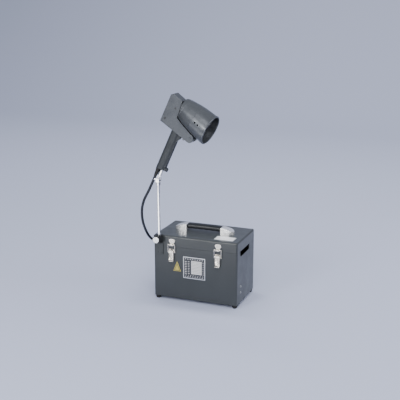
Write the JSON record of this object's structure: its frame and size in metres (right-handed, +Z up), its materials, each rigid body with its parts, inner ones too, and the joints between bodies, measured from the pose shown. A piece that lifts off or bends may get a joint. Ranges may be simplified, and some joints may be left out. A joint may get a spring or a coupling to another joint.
{
  "type": "portable inspection lamp",
  "caption": "Portable inspection lamp: a sheet-steel power case with a latched lid and strap handle, and a pistol-grip spot lamp on a short mast at one front corner.",
  "frame": {"origin": "on the floor, under the middle of the whole object's outline; the case's own middle is 34 mm behind it", "axes": "+X right along the case's front, +Y towards its back, +Z up"},
  "size_m": [0.3462, 0.2717, 0.7162],
  "materials": {
    "case_paint": "semi-gloss",
    "lid_paint": "semi-gloss",
    "head_paint": "satin hammertone",
    "grip_plastic": "textured",
    "black_plastic": "gloss",
    "rubber": "matte",
    "cord_jacket": "satin",
    "chrome": "polished",
    "stainless": "brushed",
    "zinc": "satin",
    "plate_print": "satin",
    "label_yellow": "satin",
    "label_pale": "satin",
    "knob_disc": "satin",
    "core_steel": "satin",
    "copper": "satin",
    "ceramic": "matte",
    "mirror_metal": "polished",
    "filter": "polished",
    "bulb_glass": "clear",
    "button": "satin"
  },
  "bodies": {
    "case": {"case_body": "case_paint", "body_rim": "case_paint", "rubber_feet": "rubber", "foot_screws": "zinc", "hinge_body_leaves": "zinc", "hinge_pins": "zinc", "latch_bases": "stainless", "rating_plate": "plate_print", "caution_triangle": "label_yellow", "side_screws": "zinc", "chassis_tray": "zinc", "ballast_core": "core_steel", "ballast_coil": "copper", "ballast_straps": "zinc", "capacitor": "zinc", "capacitor_clip": "zinc", "terminal_block": "ceramic", "fuse_holder": "black_plastic", "cord_gland": "black_plastic", "mast_bracket": "case_paint", "bracket_screws": "case_paint", "mast_clamp": "black_plastic", "lamp_cord": "cord_jacket"},
    "lid": {"case_lid": "lid_paint", "lid_seal": "rubber", "hinge_lid_leaves": "zinc", "latch_keepers": "stainless", "keeper_screws": "stainless", "handle_caps": "chrome", "handle_strap": "black_plastic", "handle_screws": "zinc", "lid_label": "label_pale"},
    "lever_left": {"latch_lever_left": "stainless"},
    "bail_left": {"latch_bail_left": "stainless"},
    "lever_right": {"latch_lever_right": "stainless"},
    "bail_right": {"latch_bail_right": "stainless"},
    "knob": {"clamp_knob": "black_plastic", "knob_face": "knob_disc"},
    "mast": {"mast_rod": "chrome", "knuckle_fork": "chrome", "knuckle_screw": "chrome"},
    "lamp": {"knuckle_tongue": "chrome", "housing_left": "head_paint", "housing_right": "head_paint", "housing_screws": "head_paint", "grip_left": "grip_plastic", "grip_right": "grip_plastic", "grip_heel": "grip_plastic", "cord_boot": "rubber", "trigger_switch": "black_plastic", "head_pin": "head_paint"},
    "trigger": {"trigger": "button"},
    "lock": {"lock_button": "button"},
    "head": {"head_shroud": "head_paint", "head_cap": "head_paint", "head_bezel": "head_paint", "filter_glass": "filter", "reflector": "mirror_metal", "lamp_bulb": "bulb_glass", "lamp_socket": "ceramic"}
  },
  "joints": [
    {"name": "lid_hinge", "type": "hinge", "parent": "case", "child": "lid", "pos_m": [0, 0.1315, 0.194], "axis": [-1, 0, 0], "range_deg": [0, 100]},
    {"name": "latch_left", "type": "hinge", "parent": "case", "child": "lever_left", "pos_m": [-0.083, -0.064, 0.18], "axis": [-1, 0, 0], "range_deg": [0, 100]},
    {"name": "bail_left_swing", "type": "hinge", "parent": "lever_left", "child": "bail_left", "pos_m": [-0.083, -0.064, 0.175], "axis": [-1, 0, 0], "range_deg": [-90, 0]},
    {"name": "latch_right", "type": "hinge", "parent": "case", "child": "lever_right", "pos_m": [0.083, -0.064, 0.18], "axis": [-1, 0, 0], "range_deg": [0, 100]},
    {"name": "bail_right_swing", "type": "hinge", "parent": "lever_right", "child": "bail_right", "pos_m": [0.083, -0.064, 0.175], "axis": [-1, 0, 0], "range_deg": [-90, 0]},
    {"name": "knob_turn", "type": "hinge", "parent": "case", "child": "knob", "pos_m": [-0.127, -0.086, 0.222], "axis": [0, -1, 0], "range_deg": [0, 180]},
    {"name": "mast_turn", "type": "hinge", "parent": "case", "child": "mast", "pos_m": [-0.125, -0.07, 0.23], "axis": [0, 0, 1], "range_deg": [-45, 40], "deforming": ["lamp_cord"]},
    {"name": "lamp_tilt", "type": "hinge", "parent": "mast", "child": "lamp", "pos_m": [-0.125, -0.07, 0.43], "axis": [0.0872, 0.9962, 0], "range_deg": [-20, 25], "deforming": ["lamp_cord"]},
    {"name": "trigger_press", "type": "slide", "parent": "lamp", "child": "trigger", "axis": [-0.9029, 0.079, 0.4226], "range_m": [0, 0.003], "stiffness_N_per_m": 400, "springref_m": -0.003},
    {"name": "lock_press", "type": "slide", "parent": "lamp", "child": "lock", "axis": [0.421, -0.0368, 0.9063], "range_m": [0, 0.002], "stiffness_N_per_m": 400, "springref_m": -0.002},
    {"name": "head_open", "type": "hinge", "parent": "lamp", "child": "head", "pos_m": [-0.0035, -0.08063, 0.5756], "axis": [0.0872, 0.9962, 0], "range_deg": [0, 30]}
  ],
  "couplings": [
    {"joint": "bail_left_swing", "follows": "latch_left", "ratio": -0.9},
    {"joint": "bail_right_swing", "follows": "latch_right", "ratio": -0.9}
  ]
}
